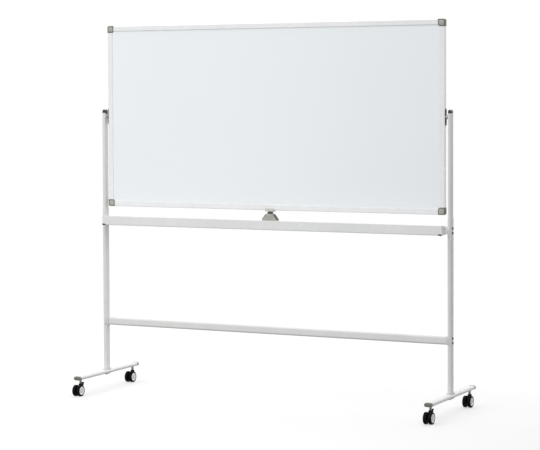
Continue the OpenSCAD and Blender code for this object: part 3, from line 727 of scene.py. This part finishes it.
def add_screw(data, head_r, head_h, shank_r, length, turn, at):
    """Pan-head screw with a shank; the cross recess is cut later."""
    profile = [(0, -length), (shank_r - 0.3 * MM, -length), (shank_r, -length + 0.4 * MM), (shank_r, 0)]
    profile += [(head_r - 0.15 * MM, 0), (head_r, 0.15 * MM), (head_r, head_h * HEAD_RIM_SHARE)]
    for step in range(1, HEAD_STEPS):
        angle = math.radians(90 * step / HEAD_STEPS)
        rise = HEAD_RIM_SHARE + (1 - HEAD_RIM_SHARE) * math.sin(angle)
        profile.append((head_r * math.cos(angle * HEAD_SWEEP), head_h * rise))
    profile.append((0, head_h))
    add_lathe(data, profile, turn, at, SCREW_SEGMENTS, closed=False)


def cut_crosses(piece, crosses):
    """Cuts a cross recess into every screw head of a piece."""
    cutter_data = bmesh.new()
    for turn, at, size, depth in crosses:
        for u, v in ((size, size * CROSS_ARM), (size * CROSS_ARM, size)):
            outline = [(-u, -v), (u, -v), (u, v), (-u, v)]
            add_stack(cutter_data, [(outline, -depth), (outline, depth)], turn, at)
    bmesh.ops.recalc_face_normals(cutter_data, faces=cutter_data.faces)
    cutter_mesh = bpy.data.meshes.new("cutter")
    cutter_data.to_mesh(cutter_mesh)
    cutter_data.free()
    cutter = bpy.data.objects.new("cutter", cutter_mesh)
    bpy.context.scene.collection.objects.link(cutter)
    boolean = piece.modifiers.new("crosses", "BOOLEAN")
    boolean.operation = "DIFFERENCE"
    boolean.solver = "EXACT"
    boolean.use_self = True
    boolean.object = cutter
    bpy.context.view_layer.update()
    shaped = piece.evaluated_get(bpy.context.evaluated_depsgraph_get())
    result = bpy.data.meshes.new_from_object(shaped)
    piece.modifiers.clear()
    piece.data = result
    bpy.data.objects.remove(cutter)


def build_screws(name, node, body, places, screw):
    """A set of screws in one piece that stands for the CAD node."""
    head_r, head_h, shank_r, length = screw
    data = bmesh.new()
    crosses = []
    for turn, at in places:
        add_screw(data, head_r, head_h, shank_r, length, turn, at)
        top = at + (turn @ Vector((0, 0, 1))) * head_h
        crosses.append((turn, top, head_r * CROSS_SIZE, head_h * CROSS_DEPTH))
    bmesh.ops.recalc_face_normals(data, faces=data.faces)
    piece = finish_piece(name, data, body, "zinc_steel")
    cut_crosses(piece, crosses)
    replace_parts(piece, node)


PLATE_SCREW_STEPS = [-31 * MM, -18 * MM, 18 * MM, 31 * MM]
LOCK_SCREW_X = 48 * MM


def build_all_screws():
    """The pivot plates' screws and the lock housing's, with their recesses."""
    pivot_z = middle("pivot_pins").z
    plate_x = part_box("pivot_plates")[1].x
    plate = [
        (mirrored_right(sign), Vector((sign * plate_x, 0, pivot_z + step)))
        for _, sign in SIDES for step in PLATE_SCREW_STEPS]
    build_screws("plate_screws_detailed", "plate_screws", "board", plate, PLATE_SCREW)
    head_h = LOCK_SCREW[1]
    lock_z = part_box("lock_screws")[1].z - head_h
    lock = [(FACING_UP, Vector((sign * LOCK_SCREW_X, 0, lock_z))) for _, sign in SIDES]
    build_screws("lock_screws_detailed", "lock_screws", "stand", lock, LOCK_SCREW)


# ---------- CAD nodes that stay ----------

# Edge rounding in millimetres, for the nodes whose edges show.
BEVELS = {
    "lock_housing": 1.2, "lock_guide": 0.8, "lock_lever": 0.8, "lock_catch": 0.8,
    "tray_end_left": 0.6, "tray_end_right": 0.6, "crossbar_ends": 0.8, "foot_sockets": 0.8,
    "corner_top_left": 1.0, "corner_top_right": 1.0,
    "corner_bottom_left": 1.0, "corner_bottom_right": 1.0,
    "pivot_plates": 0.4, "brake_lever_left": 0.6, "brake_lever_right": 0.6,
    "fork_front_left": 0.6, "fork_front_right": 0.6, "fork_rear_left": 0.6, "fork_rear_right": 0.6,
    "caster_stems": 0.4, "post_bolts": 0.5, "foot_bolts": 0.5,
}


WELD_DISTANCE = 0.000002


def dress_node(node, slot):
    """Gives a CAD node its slot's material and, where its edges show, a small rounding."""
    piece = frame["nodes"][node]
    piece.data.materials.clear()
    piece.data.materials.append(MATERIALS[slot])
    if node in BEVELS:
        weld = piece.modifiers.new("weld", "WELD")
        weld.merge_threshold = WELD_DISTANCE
        add_bevel(piece, BEVELS[node] * MM, angle=40)


def build_object():
    """Dresses the CAD nodes, then adds every visible piece."""
    for row in frame["record"]["subparts"]:
        dress_node(row["node"], row["material_slot"])
    joints = {joint["name"]: joint for joint in frame["joints"]}
    for end, side in CORNERS:
        for place in ("outer", "inner"):
            build_wheel(end, side, place)
    for side, sign in SIDES:
        build_pedal_ribs(side, joints[f"brake_front_{side}_press"])
        build_post_cap(side, sign)
        build_tray_painted_shade_corner(side, sign)
        for end, way in (("front", -1), ("rear", 1)):
            build_foot_cap(end, side, way)
        for level, up in (("top", 1), ("bottom", -1)):
            build_corner_painted_light_pads(side, sign, level, up)
    build_lock_panels()
    build_all_screws()


# ---------- studio ----------

def build_camera():
    """Puts the camera at the photographed viewing angle."""
    forward = Vector((
        -math.sin(CAMERA_YAW) * math.cos(CAMERA_PITCH),
        math.cos(CAMERA_YAW) * math.cos(CAMERA_PITCH),
        -math.sin(CAMERA_PITCH)))
    level = Vector((math.cos(CAMERA_YAW), math.sin(CAMERA_YAW), 0))
    upright = level.cross(forward)
    right = math.cos(CAMERA_ROLL) * level + math.sin(CAMERA_ROLL) * upright
    up = -math.sin(CAMERA_ROLL) * level + math.cos(CAMERA_ROLL) * upright
    data = bpy.data.cameras.new("camera")
    data.sensor_width = SENSOR
    data.lens = LENS
    data.shift_y = SHIFT_Y
    camera = bpy.data.objects.new("camera", data)
    bpy.context.scene.collection.objects.link(camera)
    turn = Matrix((right, up, -forward)).transposed().to_4x4()
    camera.matrix_world = Matrix.Translation(CAMERA_AT) @ turn
    bpy.context.scene.camera = camera


def build_world():
    """White backdrop for the camera, and soft light, brightest from above and from the right."""
    world = bpy.data.worlds.new("studio")
    world.use_nodes = True
    bpy.context.scene.world = world
    nodes, links = world.node_tree.nodes, world.node_tree.links

    def maths(operation, first, second):
        node = nodes.new("ShaderNodeMath")
        node.operation = operation
        for socket, value in zip(node.inputs, (first, second)):
            if isinstance(value, (int, float)):
                socket.default_value = value
            else:
                links.new(value, socket)
        return node.outputs[0]

    split = nodes.new("ShaderNodeSeparateXYZ")
    links.new(nodes.new("ShaderNodeTexCoord").outputs["Generated"], split.inputs[0])
    rise = maths("MULTIPLY", maths("MAXIMUM", split.outputs["Z"], 0.0), SKY_RISE)
    fall = maths("MULTIPLY", maths("MINIMUM", split.outputs["Z"], 0.0), GROUND_FALL)
    right = maths("MULTIPLY", split.outputs["X"], LIGHT_FROM_RIGHT)
    height = maths("ADD", maths("ADD", rise, fall), HORIZON_LEVEL)
    level = maths("MAXIMUM", maths("ADD", height, right), LEAST_LEVEL)
    lit = nodes["Background"]
    links.new(level, lit.inputs["Strength"])
    seen = nodes.new("ShaderNodeBackground")
    seen.inputs["Color"].default_value = (1, 1, 1, 1)
    lit.inputs["Color"].default_value = (1, 1, 1, 1)
    mix = nodes.new("ShaderNodeMixShader")
    links.new(nodes.new("ShaderNodeLightPath").outputs["Is Camera Ray"], mix.inputs["Fac"])
    links.new(lit.outputs[0], mix.inputs[1])
    links.new(seen.outputs[0], mix.inputs[2])
    links.new(mix.outputs[0], nodes["World Output"].inputs["Surface"])


LAMP_AT = Vector((-1.6, -3.0, 2.0))
LAMP_TARGET = Vector((-0.2, 0, 1.1))
LAMP_SIZE = 1.4
LAMP_POWER = 14.0


def build_lamp():
    """Large soft lamp in front, left of the middle and above eye level."""
    data = bpy.data.lights.new("front_lamp", "AREA")
    data.shape = "DISK"
    data.size = LAMP_SIZE
    data.energy = LAMP_POWER
    lamp = bpy.data.objects.new("front_lamp", data)
    bpy.context.scene.collection.objects.link(lamp)
    lamp.visible_glossy = False
    lamp.matrix_world = Matrix.Translation(LAMP_AT) @ (
        LAMP_TARGET - LAMP_AT).to_track_quat("-Z", "Y").to_matrix().to_4x4()


FLAG_X = 2.4
FLAG_Y = (-1.5, 1.0)
FLAG_Z = (0.15, 2.2)
FLAG_COLOUR = (0.02, 0.02, 0.02)
FLAG_THREADS = (0.03, 0.03, 0.03)


def build_flag():
    """Black studio flag beyond the right end: it shades what faces it, and no camera sees it."""
    surface = Surface("flag_cloth", FLAG_COLOUR, 0.9)
    surface.tint(surface.noise(300, 3), FLAG_THREADS)
    data = bmesh.new()
    near, far = FLAG_Y
    low, high = FLAG_Z
    corners = [(near, low), (far, low), (far, high), (near, high)]
    data.faces.new([data.verts.new((FLAG_X, y, z)) for y, z in corners])
    mesh = bpy.data.meshes.new("flag")
    data.to_mesh(mesh)
    data.free()
    mesh.materials.append(surface.material)
    flag = bpy.data.objects.new("flag", mesh)
    bpy.context.scene.collection.objects.link(flag)
    flag.visible_camera = False
    flag.visible_glossy = False


FLOOR_SIZE = 12.0
FLOOR_CELLS = 8


def build_floor():
    """Square floor round the origin; it sends the object no light and shows in no reflection."""
    data = bmesh.new()
    bmesh.ops.create_grid(data, x_segments=FLOOR_CELLS, y_segments=FLOOR_CELLS, size=FLOOR_SIZE / 2)
    mesh = bpy.data.meshes.new("floor")
    data.to_mesh(mesh)
    data.free()
    mesh.materials.append(floor_material())
    floor = bpy.data.objects.new("floor", mesh)
    bpy.context.scene.collection.objects.link(floor)
    floor.visible_diffuse = False
    floor.visible_glossy = False


build_camera()
MATERIALS = slot_materials()
build_object()
build_world()
build_lamp()
build_flag()
build_floor()
bpy.context.scene.view_settings.view_transform = "Standard"
